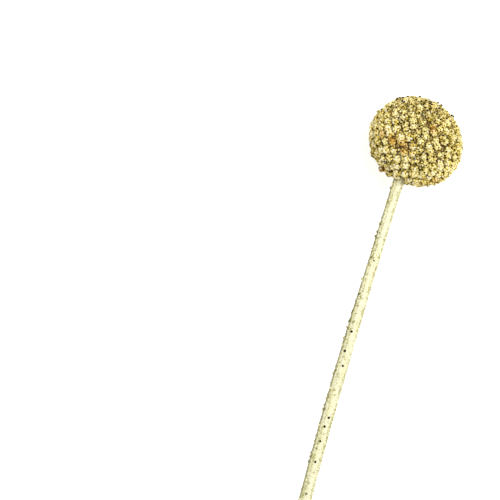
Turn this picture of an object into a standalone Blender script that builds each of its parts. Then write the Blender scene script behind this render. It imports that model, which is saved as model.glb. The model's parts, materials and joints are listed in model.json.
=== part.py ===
"""A dried billy button: one round flower head on one bare stem, painted pale gold.

The stem lies on the surface along X, with its head at +X and its cut end at -X. The head rests on
a small flat spot worn on its lowest florets, and the stem slopes down from it to its cut end. All
sizes are in metres, +Z is up and the surface is at Z = 0.
"""

import math
import random

import bmesh
import bpy
from mathutils import Matrix, Vector

# The whole stem
OVERALL_LENGTH = 0.400
COLLECTION = "billy_buttons_stem"

# The head: a ball of florets, flatter at its crown and flatter still at its base, and nodding sideways
HEAD_RADIUS = 0.0148
CROWN_SHARE = 0.94
BASE_SHARE = 0.865
HEAD_NOD = math.radians(20)
FLAT_DEPTH = 0.00060
CORE_RADIUS = 0.0130
CORE_SEGMENTS = 20
CORE_RINGS = 10

# One bundle of florets: a six-sided post with a domed top, its root sunk in the core
FLORETS = 340
FLORET_SIDES = 6
FLORET_ROOT_DEPTH = 0.0012
FLORET_ROOT_RADIUS = 0.00095
FLORET_RADIUS = 0.00118
FLORET_DOME = 0.00050
FLORET_SIZE_SPREAD = 0.08
FLORET_HEIGHT_SPREAD = 0.00028
FLORET_LEAN = math.radians(5)
FLORET_SEED = 17

# The stem: its top end sits in a socket in the head
NECK_RADIUS = 0.00168
MIDDLE_RADIUS = 0.00195
CUT_END_RADIUS = 0.00205
SWELL_START = 0.025
SWELL_END = 0.065
STEM_SEAT = 0.0065
STEM_SIDE_OFFSET = 0.0016
STEM_BOW = 0.0010
STEM_WAVE = 0.0024
STEM_RINGS = 64
STEM_WAVER = 0.00006
STEM_WAVER_TURNS = (6.5, 15.4)
CLEARANCE = 0.0003
SOCKET_SIDES = 24
SOCKET_REACH = 0.0170

# Paint: colour, roughness and metallic value
STEM_PAINT = ((0.78, 0.74, 0.48), 0.50, 0.0)
HEAD_PAINT = ((0.52, 0.41, 0.15), 0.60, 0.0)

# What follows from them
GOLDEN_ANGLE = math.pi * (3 - math.sqrt(5))
HEAD_CENTRE = Vector((0, 0, HEAD_RADIUS - FLAT_DEPTH))
HEAD_TURN = Matrix.Rotation(-HEAD_NOD, 3, "Z")
STEM_RUN = OVERALL_LENGTH - HEAD_RADIUS * CROWN_SHARE - STEM_SEAT


def clear_scene():
    """Removes every object that the file opens with."""
    for leftover in list(bpy.data.objects):
        bpy.data.objects.remove(leftover, do_unlink=True)


def new_collection(name):
    """Returns a collection linked to the scene."""
    collection = bpy.data.collections.new(name)
    bpy.context.scene.collection.children.link(collection)
    return collection


def painted(name, colour, roughness, metallic):
    """Returns a plain Principled BSDF material."""
    material = bpy.data.materials.new(name)
    material.use_nodes = True
    shader = material.node_tree.nodes["Principled BSDF"]
    shader.inputs["Base Color"].default_value = (*colour, 1)
    shader.inputs["Roughness"].default_value = roughness
    shader.inputs["Metallic"].default_value = metallic
    return material


def object_from(bm, name, collection):
    """Turns a bmesh into an object of the collection."""
    mesh = bpy.data.meshes.new(name)
    bm.to_mesh(mesh)
    bm.free()
    made = bpy.data.objects.new(name, mesh)
    collection.objects.link(made)
    return made


def cut(target, cutter):
    """Takes the cutter's shape out of the target and applies the cut."""
    modifier = target.modifiers.new(cutter.name, "BOOLEAN")
    modifier.operation = "DIFFERENCE"
    modifier.object = cutter
    apply_modifiers(target)


def apply_modifiers(target):
    """Replaces an object's mesh by its evaluated one."""
    view = bpy.context.evaluated_depsgraph_get()
    mesh = bpy.data.meshes.new_from_object(target.evaluated_get(view))
    target.modifiers.clear()
    target.data = mesh


def as_cutter(cutter):
    """Marks a guide that is cut with and isn't part of the object."""
    cutter.hide_render = True
    cutter.display_type = "WIRE"
    return cutter


def stem_axis(run):
    """Returns the middle of the stem at a distance from its top end, bowed and waved sideways."""
    share = run / STEM_RUN
    top = HEAD_CENTRE.z
    bottom = CUT_END_RADIUS
    sideways = STEM_BOW * math.sin(math.pi * share) + STEM_WAVE * math.sin(2 * math.pi * share)
    return Vector((
        -STEM_SEAT - run,
        STEM_SIDE_OFFSET + sideways,
        top + (bottom - top) * share,
    ))


def stem_radius(run):
    """Returns the stem's radius there: slim below the head, fuller lower down, widest at the cut end."""
    share = run / STEM_RUN
    rise = min(max((run - SWELL_START) / (SWELL_END - SWELL_START), 0), 1)
    swell = (MIDDLE_RADIUS - NECK_RADIUS) * rise * rise * (3 - 2 * rise)
    foot = (CUT_END_RADIUS - MIDDLE_RADIUS) * share ** 2
    fade = math.sin(math.pi * share)
    waver = STEM_WAVER * fade * sum(math.sin(math.tau * turns * share) for turns in STEM_WAVER_TURNS)
    return NECK_RADIUS + swell + foot + waver


def make_stem(collection):
    """Makes the bare stem as one tube along its axis."""
    curve = bpy.data.curves.new("stem", "CURVE")
    curve.dimensions = "3D"
    curve.bevel_depth = 1.0
    curve.bevel_resolution = 4
    curve.use_fill_caps = True
    curve.twist_mode = "Z_UP"
    spline = curve.splines.new("POLY")
    spline.points.add(STEM_RINGS - 1)
    for ring, point in enumerate(spline.points):
        run = STEM_RUN * ring / (STEM_RINGS - 1)
        point.co = (*stem_axis(run), 1)
        point.radius = stem_radius(run)
    stem = bpy.data.objects.new("stem", curve)
    collection.objects.link(stem)
    curve.materials.append(painted("stem_paint", *STEM_PAINT))
    return stem


def head_point(direction, radius):
    """Returns a point of the head's flattened ball, for a direction in the head's own frame."""
    share = CROWN_SHARE if direction.x > 0 else BASE_SHARE
    return HEAD_TURN @ Vector((direction.x * share, direction.y, direction.z)) * radius


def floret_directions():
    """Yields evenly spread directions, wound round the head's axis as a flower head's florets are."""
    for index in range(FLORETS):
        along = 1 - 2 * (index + 0.5) / FLORETS
        across = math.sqrt(1 - along * along)
        turn = index * GOLDEN_ANGLE
        yield Vector((along, across * math.cos(turn), across * math.sin(turn)))


def clear_of_socket(direction):
    """Tells whether a floret in that direction is rooted beside the stem's socket, not over it."""
    root = HEAD_CENTRE + head_point(direction, CORE_RADIUS) - stem_axis(0)
    outward = (stem_axis(SOCKET_REACH) - stem_axis(0)).normalized()
    return root.dot(outward) < 0 or root.cross(outward).length > NECK_RADIUS + CLEARANCE


def make_floret(direction, chance, collection):
    """Adds one bundle of florets that stands out of the core to the collection."""
    size = 1 + chance.uniform(-FLORET_SIZE_SPREAD, FLORET_SIZE_SPREAD)
    reach = HEAD_RADIUS + chance.uniform(-FLORET_HEIGHT_SPREAD, 0)
    root = head_point(direction, CORE_RADIUS - FLORET_ROOT_DEPTH)
    tip = head_point(direction, reach)
    height = (tip - root).length - FLORET_DOME
    bm = bmesh.new()
    bmesh.ops.create_cone(
        bm,
        cap_ends=True,
        segments=FLORET_SIDES,
        radius1=FLORET_ROOT_RADIUS * size,
        radius2=FLORET_RADIUS * size,
        depth=height,
        matrix=Matrix.Translation((0, 0, height / 2)),
    )
    top = max(bm.faces, key=lambda face: face.calc_center_median().z)
    bmesh.ops.poke(bm, faces=[top], offset=FLORET_DOME)
    floret = object_from(bm, "floret", collection)
    lean = Matrix.Rotation(chance.uniform(-FLORET_LEAN, FLORET_LEAN), 4, "X")
    spin = Matrix.Rotation(chance.uniform(0, math.tau), 4, "Z")
    facing = (tip - root).to_track_quat("Z", "Y").to_matrix().to_4x4()
    floret.matrix_world = Matrix.Translation(HEAD_CENTRE + root) @ facing @ lean @ spin


def make_core(collection):
    """Makes the ball that the florets stand out of."""
    bm = bmesh.new()
    bmesh.ops.create_uvsphere(
        bm, u_segments=CORE_SEGMENTS, v_segments=CORE_RINGS, radius=CORE_RADIUS
    )
    bmesh.ops.rotate(bm, verts=bm.verts, matrix=Matrix.Rotation(math.pi / 2, 3, "Y"))
    for vertex in bm.verts:
        vertex.co = head_point(vertex.co / CORE_RADIUS, CORE_RADIUS)
    core = object_from(bm, "flower_head", collection)
    core.location = HEAD_CENTRE
    return core


def make_socket_cutter(collection):
    """Makes the shape of the hole in the head that the stem's top end sits in."""
    seat = stem_axis(0)
    outward = (stem_axis(SOCKET_REACH) - seat).normalized()
    bm = bmesh.new()
    bmesh.ops.create_cone(
        bm,
        cap_ends=True,
        segments=SOCKET_SIDES,
        radius1=NECK_RADIUS + CLEARANCE,
        radius2=NECK_RADIUS + CLEARANCE,
        depth=SOCKET_REACH + CLEARANCE,
        matrix=Matrix.Translation((0, 0, (SOCKET_REACH - CLEARANCE) / 2)),
    )
    cutter = object_from(bm, "socket_cutter", collection)
    facing = outward.to_track_quat("Z", "Y").to_matrix().to_4x4()
    cutter.matrix_world = Matrix.Translation(seat) @ facing
    return as_cutter(cutter)


def make_surface_cutter(collection):
    """Makes the block whose top is the surface, which flattens the lowest florets."""
    side = 4 * HEAD_RADIUS
    bm = bmesh.new()
    bmesh.ops.create_cube(bm, size=side)
    cutter = object_from(bm, "surface_cutter", collection)
    cutter.location = (0, 0, -side / 2)
    return as_cutter(cutter)


def make_head(collection, cutters):
    """Makes the flower head: florets all round one core, fused, with its flat spot and socket."""
    head = make_core(collection)
    florets = new_collection("florets")
    chance = random.Random(FLORET_SEED)
    for direction in filter(clear_of_socket, floret_directions()):
        make_floret(direction, chance, florets)
    bpy.context.view_layer.update()
    joined = head.modifiers.new("florets", "BOOLEAN")
    joined.operation = "UNION"
    joined.operand_type = "COLLECTION"
    joined.collection = florets
    joined.solver = "MANIFOLD"
    apply_modifiers(head)
    for floret in list(florets.objects):
        bpy.data.objects.remove(floret, do_unlink=True)
    bpy.data.collections.remove(florets)
    cut(head, make_surface_cutter(cutters))
    cut(head, make_socket_cutter(cutters))
    head.data.materials.clear()
    head.data.materials.append(painted("head_paint", *HEAD_PAINT))
    return head


def centre_on_origin(pieces):
    """Hangs the pieces from one empty, moved so that their box is centred over the origin."""
    view = bpy.context.evaluated_depsgraph_get()
    corners = []
    for piece in pieces:
        evaluated = piece.evaluated_get(view)
        mesh = evaluated.to_mesh()
        corners += [piece.matrix_world @ vertex.co for vertex in mesh.vertices]
        evaluated.to_mesh_clear()
    root = bpy.data.objects.new("root", None)
    bpy.context.scene.collection.objects.link(root)
    for axis in (0, 1):
        places = [corner[axis] for corner in corners]
        root.location[axis] = -(min(places) + max(places)) / 2
    for piece in pieces:
        piece.parent = root


def main():
    """Builds the stem and its head."""
    clear_scene()
    collection = new_collection(COLLECTION)
    cutters = new_collection("cutters")
    bpy.context.view_layer.update()
    stem = make_stem(collection)
    head = make_head(collection, cutters)
    bpy.context.view_layer.update()
    centre_on_origin([stem, head])


main()
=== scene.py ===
"""Dresses the laid billy button: painted florets, a ribbed and downy stalk, floor, light and camera."""

from __future__ import annotations

import json
import logging
import math
import random
from dataclasses import dataclass
from enum import Enum
from functools import cached_property
from typing import Any, Iterator

import bmesh
import bpy
from bmesh.types import BMesh, BMVert
from bpy.types import Collection, Material, Mesh, Node, NodeSocket as Socket, NodeTree, Object
from mathutils import Matrix, Vector

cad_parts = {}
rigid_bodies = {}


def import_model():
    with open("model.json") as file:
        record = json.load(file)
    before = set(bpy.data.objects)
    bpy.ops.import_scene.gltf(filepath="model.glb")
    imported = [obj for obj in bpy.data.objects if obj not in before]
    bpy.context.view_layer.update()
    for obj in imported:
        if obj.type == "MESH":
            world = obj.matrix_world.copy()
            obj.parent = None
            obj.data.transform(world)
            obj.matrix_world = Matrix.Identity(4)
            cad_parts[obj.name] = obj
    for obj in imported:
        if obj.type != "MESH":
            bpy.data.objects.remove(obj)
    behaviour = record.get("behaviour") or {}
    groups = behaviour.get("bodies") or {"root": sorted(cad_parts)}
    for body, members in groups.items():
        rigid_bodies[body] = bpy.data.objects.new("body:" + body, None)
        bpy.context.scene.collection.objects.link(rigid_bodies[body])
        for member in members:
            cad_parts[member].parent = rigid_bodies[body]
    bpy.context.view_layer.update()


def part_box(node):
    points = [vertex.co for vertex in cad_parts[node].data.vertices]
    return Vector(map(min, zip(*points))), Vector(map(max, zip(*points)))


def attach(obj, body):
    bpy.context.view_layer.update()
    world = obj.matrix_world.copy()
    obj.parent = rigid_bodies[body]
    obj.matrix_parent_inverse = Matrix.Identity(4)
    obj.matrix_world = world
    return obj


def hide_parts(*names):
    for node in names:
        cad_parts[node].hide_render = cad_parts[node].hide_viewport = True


LOG = logging.getLogger("billy_button")
BODY = "root"
MM = 0.001
GOLDEN_ANGLE = math.pi * (3 - math.sqrt(5))
UP = Vector((0, 0, 1))

Colour = tuple[float, float, float]
Range = tuple[float, float]
Pixel = tuple[float, float]
Triple = tuple[float, float, float]
# Where a smooth step starts and ends, and the results there unless they are 0 and 1
Step = tuple[float, ...]

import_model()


class NodeChain:
    """Adds nodes to a tree, and sets or joins their inputs in the same call."""

    def __init__(self, tree: NodeTree) -> None:
        """Keeps the shader or Geometry Nodes tree that the nodes go into."""
        self.tree = tree

    def feed(self, socket: Socket, value: Any) -> None:
        """Gives an input its value.

        Args:
            socket: the input.
            value: another node's output, or a plain value, which for a colour has three parts.
        """
        if isinstance(value, Socket):
            self.tree.links.new(value, socket)
        else:
            socket.default_value = (*value, 1) if socket.type == "RGBA" else value

    def add(self, kind: str, inputs: dict[int | str, Any] | None = None, **settings: Any) -> Node:
        """Adds one node.

        Args:
            kind: Blender's name of the node type.
            inputs: a value or an output socket for each input, by its index or name.
            settings: properties of the node itself.

        Returns:
            The new node.
        """
        node = self.tree.nodes.new(kind)
        for name, value in settings.items():
            setattr(node, name, value)
        for key, value in (inputs or {}).items():
            self.feed(node.inputs[key], value)
        return node

    def out(self, kind: str, inputs: dict[int | str, Any] | None = None, **settings: Any) -> Socket:
        """Adds one node and returns its first output."""
        return self.add(kind, inputs, **settings).outputs[0]

    def math(self, operation: str, *values: Any) -> Socket:
        """Returns the result of one sum of numbers."""
        return self.out("ShaderNodeMath", dict(enumerate(values)), operation=operation)

    def vector(self, operation: str, *values: Any) -> Socket:
        """Returns the result of one sum of vectors, which is a number for a dot product or a distance."""
        node = self.add("ShaderNodeVectorMath", dict(enumerate(values)), operation=operation)
        return node.outputs["Value" if operation in ("DOT_PRODUCT", "DISTANCE") else "Vector"]

    def scaled(self, vector: Any, factor: Any) -> Socket:
        """Returns a vector times a number."""
        return self.out("ShaderNodeVectorMath", {0: vector, 3: factor}, operation="SCALE")

    def combined(self, x: Any, y: Any, z: Any) -> Socket:
        """Returns the vector made of three numbers."""
        return self.out("ShaderNodeCombineXYZ", {0: x, 1: y, 2: z})

    def off_middle(self, drawn: Socket, amount: Any, base: Any) -> Socket:
        """Returns a base plus an amount of how far a number from 0 to 1 lies from its middle."""
        return self.math("MULTIPLY_ADD", self.math("SUBTRACT", drawn, 0.5), amount, base)

    def noise(
        self, vector: Any, scale: float, detail: float = 2.0, roughness: float = 0.5, output: str = "Fac"
    ) -> Socket:
        """Returns a noise texture read at a vector, as a number or as a Color."""
        inputs = {"Vector": vector, "Scale": scale, "Detail": detail, "Roughness": roughness}
        return self.add("ShaderNodeTexNoise", inputs).outputs[output]

    def stepped(self, value: Any, low: float, high: float, start: float = 0, end: float = 1) -> Socket:
        """Returns a value mapped smoothly from low and high to start and end, and clamped there."""
        inputs = {0: value, 1: low, 2: high, 3: start, 4: end}
        return self.out("ShaderNodeMapRange", inputs, interpolation_type="SMOOTHSTEP")

    def tinted(self, share: Any, first: Any, second: Any) -> Socket:
        """Returns the mix of two colours, where the share is the second one's."""
        return self.add("ShaderNodeMix", {0: share, 6: first, 7: second}, data_type="RGBA").outputs[2]


class PaintChain(NodeChain):
    """A material under construction round one Principled BSDF."""

    BUMP_HEIGHT = 0.2 * MM

    def __init__(self, name: str) -> None:
        """Starts a material.

        Args:
            name: the material's name.
        """
        self.material = bpy.data.materials.new(name)
        self.material.use_nodes = True
        super().__init__(self.material.node_tree)
        self.place = self.add("ShaderNodeTexCoord").outputs["Object"]

    def attribute(self, name: str) -> Socket:
        """Returns a number stored on the mesh."""
        return self.add("ShaderNodeAttribute", attribute_name=name).outputs["Fac"]

    def bumped(self, height: Socket, strength: float) -> Socket:
        """Returns the normal that a height from 0 to 1 gives."""
        inputs = {"Strength": strength, "Distance": self.BUMP_HEIGHT, "Height": height}
        return self.out("ShaderNodeBump", inputs)

    def finish(self, **sockets: Any) -> Material:
        """Feeds the shader.

        Args:
            sockets: values or sockets for the shader's inputs, with _ for each space in a name.

        Returns:
            The finished material.
        """
        shader = self.tree.nodes["Principled BSDF"]
        for name, value in sockets.items():
            self.feed(shader.inputs[name.replace("_", " ")], value)
        return self.material


class GrowthRule(NodeChain):
    """A Geometry Nodes tree with named inputs, run once to make one plain mesh."""

    KINDS = {
        int: "NodeSocketInt",
        float: "NodeSocketFloat",
        Vector: "NodeSocketVector",
        Material: "NodeSocketMaterial",
        Object: "NodeSocketObject",
        Collection: "NodeSocketCollection",
    }

    def __init__(self, name: str) -> None:
        """Starts a tree.

        Args:
            name: the name of the piece that it makes.
        """
        super().__init__(bpy.data.node_groups.new(name, "GeometryNodeTree"))
        self.name = name
        self.values: dict[str, Any] = {}
        self.tree.interface.new_socket("Geometry", in_out="OUTPUT", socket_type="NodeSocketGeometry")
        self.start = self.tree.nodes.new("NodeGroupInput")
        self.end = self.tree.nodes.new("NodeGroupOutput")
        self.position = self.out("GeometryNodeInputPosition")
        self.normal = self.out("GeometryNodeInputNormal")
        self.seed: Any = 0

    def named(self, name: str, value: Any) -> Socket:
        """Adds a named input.

        Args:
            name: the input's name.
            value: the value that the modifier gives it.

        Returns:
            The socket that carries it inside the tree.
        """
        kind = next(socket for made, socket in self.KINDS.items() if isinstance(value, made))
        item = self.tree.interface.new_socket(name, in_out="INPUT", socket_type=kind)
        self.values[item.identifier] = value
        return self.start.outputs[name]

    def chance(self, low: Any, high: Any, salt: int) -> Socket:
        """Returns a random number for each element, set apart from the tree's other draws by its salt."""
        inputs = {2: low, 3: high, 8: self.math("ADD", self.seed, float(salt))}
        return self.add("FunctionNodeRandomValue", inputs, data_type="FLOAT").outputs[1]

    def chance_vector(self, reach: Any, salt: int) -> Socket:
        """Returns a random vector for each element, each part of which lies within a reach of zero."""
        inputs = {0: (-1, -1, -1), 1: (1, 1, 1), 8: self.math("ADD", self.seed, float(salt))}
        return self.scaled(self.out("FunctionNodeRandomValue", inputs, data_type="FLOAT_VECTOR"), reach)

    def facing(self, vector: Any, salt: int) -> Socket:
        """Turns +Z to a vector, after a random spin about it.

        Args:
            vector: where +Z goes.
            salt: what sets the spin apart from the tree's other draws.

        Returns:
            The rotation.
        """
        turned = self.out("FunctionNodeAlignRotationToVector", {2: vector}, axis="Z")
        spin = self.chance(0.0, math.tau, salt)
        about = self.out("FunctionNodeAxisAngleToRotation", {0: (0, 0, 1), 1: spin})
        return self.out("FunctionNodeRotateRotation", {0: turned, 1: about}, rotation_space="LOCAL")

    def stored(self, geometry: Any, name: str, value: Any, domain: str) -> Socket:
        """Returns the geometry with a number stored on its POINT or INSTANCE domain."""
        inputs = {0: geometry, 2: name, 3: value}
        return self.out("GeometryNodeStoreNamedAttribute", inputs, data_type="FLOAT", domain=domain)

    def without(self, points: Any, taken: Any) -> Socket:
        """Returns the points that a condition doesn't take out."""
        return self.out("GeometryNodeDeleteGeometry", {0: points, 1: taken}, domain="POINT")

    def realized(self, instances: Any) -> Socket:
        """Returns instances as one mesh."""
        return self.out("GeometryNodeRealizeInstances", {0: instances})

    def placed_at(self, geometry: Any, position: Any) -> Socket:
        """Returns the geometry with its points at a position."""
        return self.out("GeometryNodeSetPosition", {0: geometry, 2: position})

    def moved(self, geometry: Any, offset: Any) -> Socket:
        """Returns the geometry with its points moved by an offset."""
        return self.out("GeometryNodeSetPosition", {0: geometry, 3: offset})

    def ruffled(self, geometry: Any, name: str, scale: float, amount: float) -> Socket:
        """Returns the geometry moved by a smooth noise, by up to about a named amount along each axis."""
        drawn = self.vector("SUBTRACT", self.noise(self.position, scale, output="Color"), (0.5, 0.5, 0.5))
        return self.moved(geometry, self.scaled(drawn, self.math("MULTIPLY", self.named(name, amount), 2.0)))

    def rested(self, geometry: Any, lowest: float) -> Socket:
        """Returns the geometry with no point below a height over the surface that it lies on."""
        return self.placed_at(geometry, self.vector("MAXIMUM", self.position, (-1.0, -1.0, lowest)))

    def grow(self, geometry: Any, finish: Material) -> Object:
        """Ends the tree and runs it.

        Args:
            geometry: what the tree has made.
            finish: the material that it gets.

        Returns:
            A new object with the plain mesh.
        """
        shaded = self.out("GeometryNodeSetShadeSmooth", {0: self.realized(geometry), 2: True})
        painted = self.out("GeometryNodeSetMaterial", {0: shaded, "Material": self.named("Material", finish)})
        self.tree.links.new(painted, self.end.inputs[0])
        host = new_object(f"{self.name}_host", bpy.data.meshes.new(f"{self.name}_host"))
        modifier = host.modifiers.new(self.name, "NODES")
        modifier.node_group = self.tree
        for identifier, value in self.values.items():
            modifier[identifier] = value
        bpy.context.view_layer.update()
        view = bpy.context.evaluated_depsgraph_get()
        mesh = bpy.data.meshes.new_from_object(host.evaluated_get(view))
        bpy.data.objects.remove(host, do_unlink=True)
        mesh.name = self.name
        return new_object(self.name, mesh)


def new_object(name: str, data: bpy.types.ID, collection: Collection | None = None) -> Object:
    """Adds an object.

    Args:
        name: its name.
        data: its mesh, curve, light or camera.
        collection: where it goes, or None for the scene's own.

    Returns:
        The new object.
    """
    made = bpy.data.objects.new(name, data)
    (collection or bpy.context.scene.collection).objects.link(made)
    return made


def as_mesh(bm: BMesh, name: str) -> Mesh:
    """Turns a bmesh into a smooth-shaded mesh and frees it.

    Args:
        bm: the bmesh.
        name: the mesh's name.

    Returns:
        The mesh.
    """
    mesh = bpy.data.meshes.new(name)
    bm.to_mesh(mesh)
    bm.free()
    mesh.shade_smooth()
    return mesh


def as_piece(bm: BMesh, name: str, finish: Material) -> Object:
    """Turns a bmesh into an object with a finish.

    Args:
        bm: the bmesh.
        name: the piece's name.
        finish: its finish.

    Returns:
        The piece.
    """
    piece = new_object(name, as_mesh(bm, name))
    piece.data.materials.append(finish)
    return piece


def ring_corner(radius: float, turn: float, height: float) -> Vector:
    """Returns a corner of a ring round the Z axis, where a turn of 1 is the whole way round."""
    return Vector((radius * math.cos(math.tau * turn), radius * math.sin(math.tau * turn), height))


def lofted(bm: BMesh, rings: list[list[BMVert]]) -> None:
    """Joins rings of points by faces and closes both ends.

    Args:
        bm: the mesh.
        rings: the rings from the foot up, the last of which may be a single point.
    """
    bm.faces.new(reversed(rings[0]))
    for low, high in zip(rings, rings[1:]):
        for step, corner in enumerate(low):
            after = (step + 1) % len(low)
            above = high if len(high) == 1 else (high[after], high[step])
            bm.faces.new((corner, low[after], *above))
    if len(rings[-1]) > 1:
        bm.faces.new(rings[-1])


def standing(place: Vector, facing: Vector) -> Matrix:
    """Returns the matrix that puts the origin at a place and turns +Z to a direction."""
    return Matrix.Translation(place) @ facing.to_track_quat("Z", "Y").to_matrix().to_4x4()


def mounted(piece: Object, slot: str, *replaced: str) -> None:
    """Ties a finished piece to the model and reports it.

    Args:
        piece: the piece.
        slot: not used.
        replaced: the nodes that it stands for.
    """
    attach(piece, BODY)
    if replaced:
        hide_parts(*replaced)
    triangles = sum(len(face.vertices) - 2 for face in piece.data.polygons)
    LOG.info("%s: %d triangles", piece.name, triangles)


@dataclass(frozen=True)
class FloretPaint:
    """Pale gold spray paint, thick and creamy on the florets' tips and thin and brown at their roots, the
    dark roots partly painted shade in the recesses and the cream tips partly a painted highlight.
    """

    browned: tuple[tuple[Vector, float], ...]
    # Tip to root by spray cover; the root's dark brown is partly painted shade in the recesses, the tip's
    # cream partly a painted highlight
    tip: Colour = (1.0, 0.88, 0.44)
    flank: Colour = (0.70, 0.54, 0.085)
    root: Colour = (0.13, 0.08, 0.009)
    # Near black inside the florets' open and burst mouths: painted shade
    mouth: Colour = (0.02, 0.013, 0.004)
    ochre: Colour = (0.60, 0.31, 0.03)
    # Whitish colour on the florets with the highest random shade: a painted glint
    painted_glint: Colour = (0.92, 0.87, 0.72)
    green: Colour = (0.42, 0.40, 0.07)
    roughness: float = 0.36
    metallic: float = 0.25
    specular: float = 0.20
    grain_scale: float = 3200.0
    patch_scale: float = 190.0
    grain_weight: float = 0.50
    tone_weight: float = 0.20
    shade_weight: float = 0.45
    middle_height: float = 0.0142
    half_height: float = 0.0148
    # Darker on the head's lower half and its rim, by height: painted shade
    underside_painted_shade: Step = (-0.30, 0.55, 0.31, 0.0)
    flank_step: Step = (0.16, 0.55)
    tip_step: Step = (0.50, 0.90)
    ochre_step: Step = (0.35, 1.0, 1.0, 0.60)
    ochre_patches: Step = (0.62, 0.76, 0.0, 0.40)
    green_patches: Step = (0.42, 0.28, 0.0, 0.35)
    painted_glint_step: Step = (0.78, 0.95, 0.0, 0.65)
    mouth_shade_step: Step = (0.05, 0.22, 1.0, 0.0)
    browned_middle: float = 0.25
    browned_share: float = 0.85
    bump: float = 0.35

    def brown(self, paint: PaintChain) -> Socket:
        """Finds how browned the surface is.

        Args:
            paint: the material under construction.

        Returns:
            The share from the browned places.
        """
        share: Any = 0.0
        for place, reach in self.browned:
            away = paint.vector("DISTANCE", paint.place, tuple(place))
            near = paint.stepped(away, reach * self.browned_middle, reach, self.browned_share, 0.0)
            share = paint.math("MAXIMUM", share, near)
        return share

    def thickness(self, paint: PaintChain, grain: Socket) -> Socket:
        """Finds how thickly the spray covers the surface.

        Args:
            paint: the material under construction.
            grain: the paint's grain.

        Returns:
            The cover of the mesh's points with the grain, less on the head's underside and rim, which is
            painted shade.
        """
        thick = paint.off_middle(grain, self.grain_weight, paint.attribute("paint"))
        thick = paint.off_middle(paint.attribute("tone"), self.tone_weight, thick)
        thick = paint.off_middle(paint.attribute("shade"), self.shade_weight, thick)
        height = paint.add("ShaderNodeSeparateXYZ", {0: paint.place}).outputs[2]
        rise = paint.math("DIVIDE", paint.math("SUBTRACT", height, self.middle_height), self.half_height)
        return paint.math("SUBTRACT", thick, paint.stepped(rise, *self.underside_painted_shade))

    def material(self) -> Material:
        """Builds the paint.

        Returns:
            The material.
        """
        paint = PaintChain("floret_paint")
        grain = paint.noise(paint.place, self.grain_scale, 3.0, 0.6)
        patch = paint.noise(paint.place, self.patch_scale)
        thick = self.thickness(paint, grain)
        rusty = paint.math("MULTIPLY", paint.stepped(thick, *self.ochre_step), self.brown(paint))
        layers = (
            (paint.stepped(thick, *self.flank_step), self.flank),
            (paint.stepped(thick, *self.tip_step), self.tip),
            (paint.math("MAXIMUM", rusty, paint.stepped(patch, *self.ochre_patches)), self.ochre),
            (paint.stepped(patch, *self.green_patches), self.green),
            # Whitish painted glints on a few florets
            (paint.stepped(paint.attribute("shade"), *self.painted_glint_step), self.painted_glint),
            # Near-black painted shade in the florets' mouths
            (paint.stepped(paint.attribute("paint"), *self.mouth_shade_step), self.mouth),
        )
        colour: Any = self.root
        for share, tint in layers:
            colour = paint.tinted(share, colour, tint)
        return paint.finish(
            Base_Color=colour,
            Roughness=self.roughness,
            Metallic=self.metallic,
            Specular_IOR_Level=self.specular,
            Normal=paint.bumped(grain, self.bump),
        )


@dataclass(frozen=True)
class CorePaint:
    """The head's dark inside, which the spray barely reached, its near-black brown partly painted shade in
    the gaps between florets.
    """

    dark: Colour = (0.06, 0.032, 0.006)
    light: Colour = (0.20, 0.115, 0.02)
    light_step: Step = (0.35, 0.65)
    roughness: float = 0.8
    grain_scale: float = 1500.0

    def material(self) -> Material:
        """Builds the finish.

        Returns:
            The material.
        """
        paint = PaintChain("core_paint")
        grain = paint.noise(paint.place, self.grain_scale, 3.0)
        colour = paint.tinted(paint.stepped(grain, *self.light_step), self.dark, self.light)
        return paint.finish(Base_Color=colour, Roughness=self.roughness)


@dataclass(frozen=True)
class StalkPaint:
    """Cream paint on a dried, ribbed stalk, mottled with bare olive where the cover is low; the cover falls
    on its underside and edges as painted shade.
    """

    cream: Colour = (0.79, 0.75, 0.42)
    light: Colour = (0.86, 0.83, 0.59)
    mottle: Colour = (0.46, 0.43, 0.15)
    olive: Colour = (0.16, 0.14, 0.035)
    roughness: float = 0.45
    grain_scale: float = 2300.0
    streak_scale: float = 900.0
    streak_stretch: float = 0.12
    patch_scale: float = 800.0
    streak_weight: float = 0.8
    grain_weight: float = 2.6
    patch_weight: float = 1.1
    light_step: Step = (0.36, 0.60)
    mottle_step: Step = (0.44, 0.80, 1.0, 0.0)
    olive_step: Step = (-0.05, 0.40, 1.0, 0.0)
    bump: float = 0.3

    def material(self) -> Material:
        """Builds the paint.

        Returns:
            The material.
        """
        paint = PaintChain("stalk_paint")
        grain = paint.noise(paint.place, self.grain_scale, 3.0, 0.6)
        stretch = (self.streak_stretch, 1, 1)
        long_way = paint.out("ShaderNodeMapping", {"Vector": paint.place, "Scale": stretch})
        mixed = paint.off_middle(paint.noise(long_way, self.streak_scale), self.streak_weight, grain)
        reached = paint.off_middle(grain, self.grain_weight, paint.attribute("cover"))
        patch = paint.noise(paint.place, self.patch_scale, 1.0)
        reached = paint.off_middle(patch, self.patch_weight, reached)
        colour = paint.tinted(paint.stepped(mixed, *self.light_step), self.cream, self.light)
        colour = paint.tinted(paint.stepped(reached, *self.mottle_step), colour, self.mottle)
        colour = paint.tinted(paint.stepped(reached, *self.olive_step), colour, self.olive)
        normal = paint.bumped(mixed, self.bump)
        return paint.finish(Base_Color=colour, Roughness=self.roughness, Normal=normal)


@dataclass(frozen=True)
class PinholeShadePaint:
    """Near black for a pinhole's depth: painted shade on a raised dot."""

    dark: Colour = (0.012, 0.009, 0.005)
    light: Colour = (0.02, 0.015, 0.007)
    roughness: float = 0.9
    grain_scale: float = 4000.0

    def material(self) -> Material:
        """Builds the finish.

        Returns:
            The material.
        """
        paint = PaintChain("speck_paint")
        colour = paint.tinted(paint.noise(paint.place, self.grain_scale), self.dark, self.light)
        return paint.finish(Base_Color=colour, Roughness=self.roughness, Specular_IOR_Level=0.0)


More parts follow.
